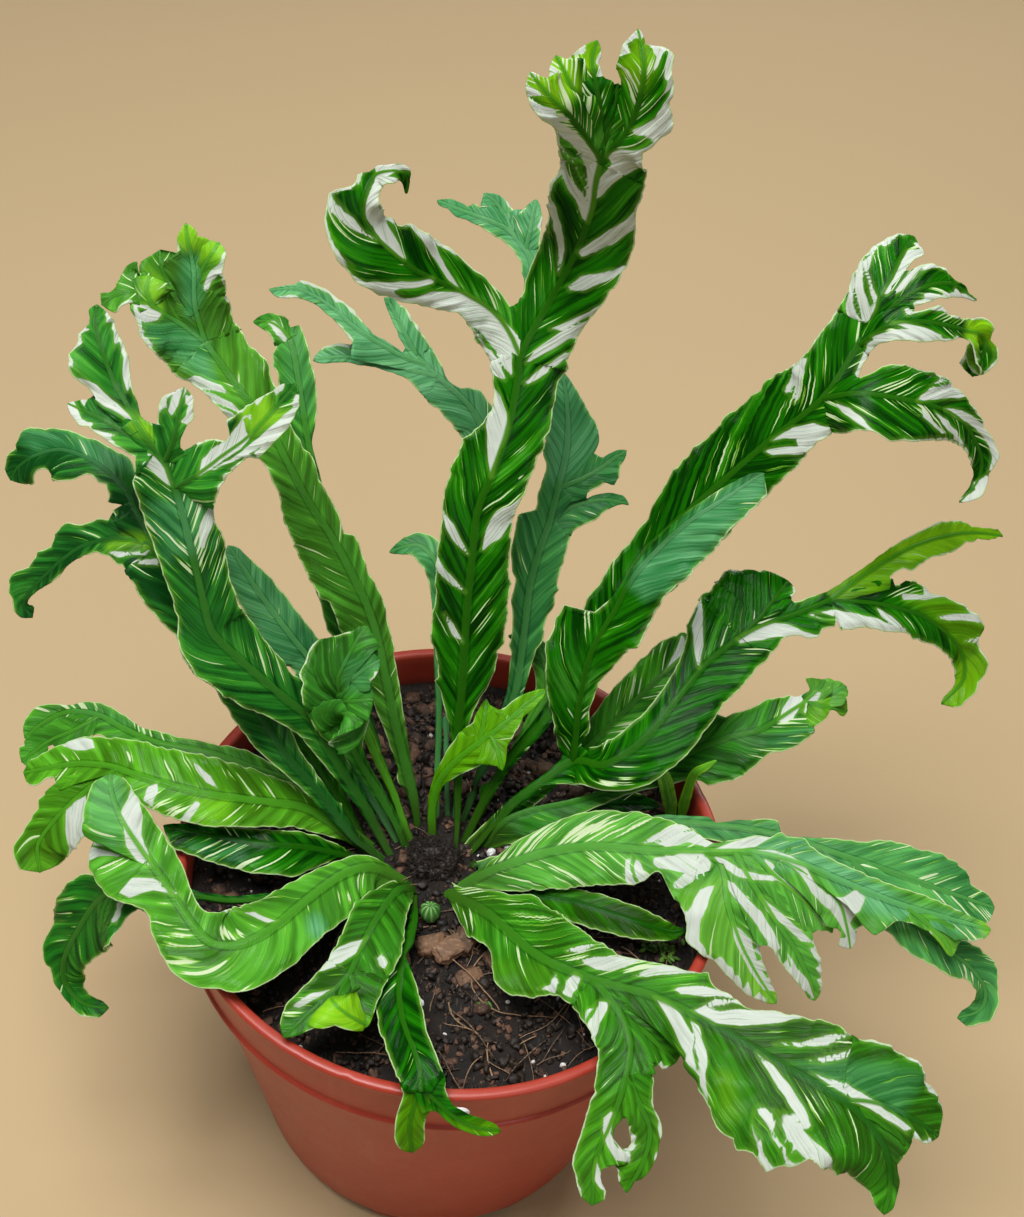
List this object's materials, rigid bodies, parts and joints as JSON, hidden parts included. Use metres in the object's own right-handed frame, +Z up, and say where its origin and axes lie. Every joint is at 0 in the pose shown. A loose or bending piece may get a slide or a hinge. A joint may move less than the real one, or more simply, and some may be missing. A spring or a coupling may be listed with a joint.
{
  "type": "potted fern",
  "caption": "Variegated crested fern with forked, white-streaked strap fronds rising from a fibrous crown in a round terracotta-coloured plastic nursery pot with soil.",
  "frame": {"origin": "centre of the pot's flat underside", "axes": "+Z up the pot, -Y towards the picture's camera"},
  "size_m": [0.3436, 0.2753, 0.3782],
  "materials": {
    "pot_plastic": "satin",
    "soil_mix": "matte",
    "leaf_green": "gloss",
    "pebble": "matte",
    "bark": "matte"
  },
  "bodies": {
    "root": {"pot": "pot_plastic", "soil": "soil_mix", "crown": "soil_mix", "crozier_bud": "leaf_green", "pebble_white_a": "pebble", "pebble_white_b": "pebble", "pebble_rim": "pebble", "bark_chunk": "bark", "frond_center_tall": "leaf_green", "frond_right_long": "leaf_green", "frond_right_mid": "leaf_green", "leaf_right_mid_behind": "leaf_green", "frond_right_low": "leaf_green", "leaf_small_upright_a": "leaf_green", "leaf_small_upright_b": "leaf_green", "leaf_dark_low": "leaf_green", "frond_front_right_upper": "leaf_green", "frond_front_right_large": "leaf_green", "leaf_front_right_small": "leaf_green", "frond_right_behind_low": "leaf_green", "frond_left_back_low": "leaf_green", "frond_left_mid": "leaf_green", "leaf_left_under": "leaf_green", "frond_left_scurve": "leaf_green", "frond_left_hanging": "leaf_green", "frond_front_left": "leaf_green", "frond_front_rim": "leaf_green", "frond_upper_left_tall": "leaf_green", "frond_upper_left_outer": "leaf_green", "leaf_upper_left_narrow": "leaf_green", "frond_crested_yellow": "leaf_green", "frond_back_left": "leaf_green", "leaf_back_left_pale": "leaf_green", "young_frond_crumpled": "leaf_green", "young_stalk_narrow": "leaf_green", "frond_back_forked": "leaf_green", "frond_back_top": "leaf_green", "frond_back_right": "leaf_green", "leaf_back_small": "leaf_green", "leaf_small_center": "leaf_green", "young_frond_lime": "leaf_green"}
  },
  "joints": []
}
